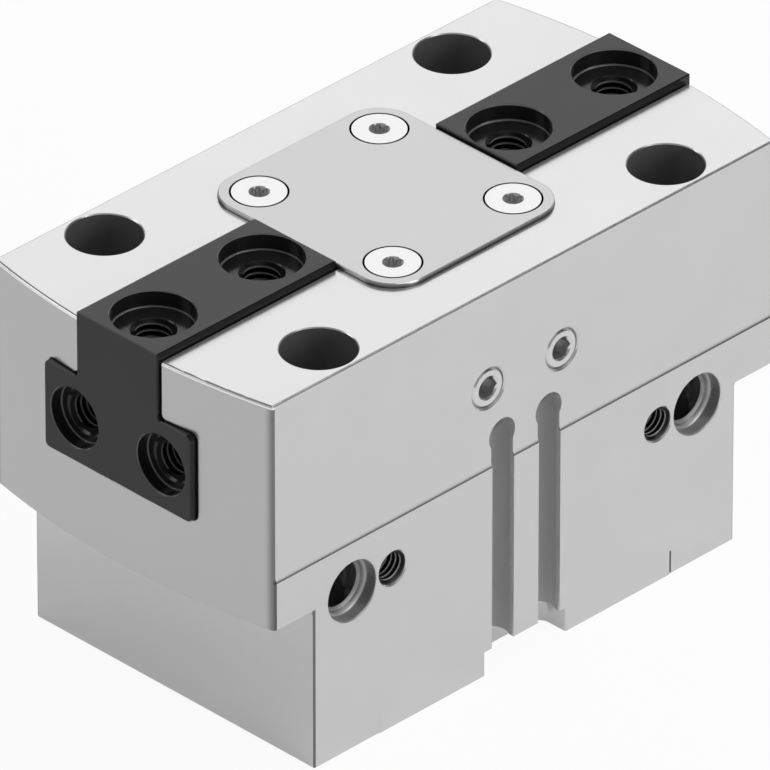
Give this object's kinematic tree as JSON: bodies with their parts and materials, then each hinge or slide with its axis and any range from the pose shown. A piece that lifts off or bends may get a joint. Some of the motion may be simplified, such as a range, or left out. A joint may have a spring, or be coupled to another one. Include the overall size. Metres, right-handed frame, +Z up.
{
  "type": "parallel gripper",
  "caption": "Pneumatic parallel gripper: a piston lifts a wedge that drives T-guided jaws apart along a squared housing with mounting holes, air ports and sensor grooves.",
  "frame": {"origin": "centre of the underside, with the jaws closed", "axes": "+X along the jaws' travel, -Y out of the face with the air ports and sensor grooves, +Z up out of the cover"},
  "size_m": [0.0998, 0.0524, 0.0608],
  "materials": {
    "housing_aluminium": "fine matt anodised",
    "cover_aluminium": "fine matt anodised, a shade darker than the housing",
    "jaw_steel": "dark, dull coated steel",
    "bright_screw_steel": "bright turned",
    "dark_screw_steel": "black oxide",
    "wedge_steel": "ground",
    "rod_steel": "ground and polished",
    "piston_aluminium": "turned",
    "seal_rubber": "matt black",
    "bush_bronze": "turned, oiled",
    "magnet": "sintered, dull",
    "guide_plastic": "matt"
  },
  "bodies": {
    "body": {"housing": "housing_aluminium", "cover_plate": "cover_aluminium", "cover_screws": "bright_screw_steel", "purge_screws": "bright_screw_steel", "end_cap": "housing_aluminium", "end_cap_screws": "bright_screw_steel", "end_cap_seal": "seal_rubber", "lower_bumper": "seal_rubber", "upper_bumper": "seal_rubber", "rod_bush": "bush_bronze", "rod_seal": "seal_rubber", "seal_retainer": "rod_steel"},
    "left_jaw": {"jaw_left": "jaw_steel"},
    "right_jaw": {"jaw_right": "jaw_steel"},
    "drive": {"wedge": "wedge_steel", "piston_rod": "rod_steel", "piston": "piston_aluminium", "piston_seal": "seal_rubber", "piston_magnet": "magnet", "piston_guide_ring": "guide_plastic", "magnet_keeper": "piston_aluminium", "piston_screw": "dark_screw_steel"}
  },
  "joints": [
    {"name": "piston_slide", "type": "slide", "parent": "body", "child": "drive", "axis": [0, 0, 1], "range_m": [0, 0.0128]},
    {"name": "left_jaw_slide", "type": "slide", "parent": "body", "child": "left_jaw", "axis": [-1, 0, 0], "range_m": [0, 0.008]},
    {"name": "right_jaw_slide", "type": "slide", "parent": "body", "child": "right_jaw", "axis": [1, 0, 0], "range_m": [0, 0.008]}
  ],
  "couplings": [
    {"joint": "left_jaw_slide", "follows": "piston_slide", "ratio": 0.625},
    {"joint": "right_jaw_slide", "follows": "piston_slide", "ratio": 0.625}
  ]
}
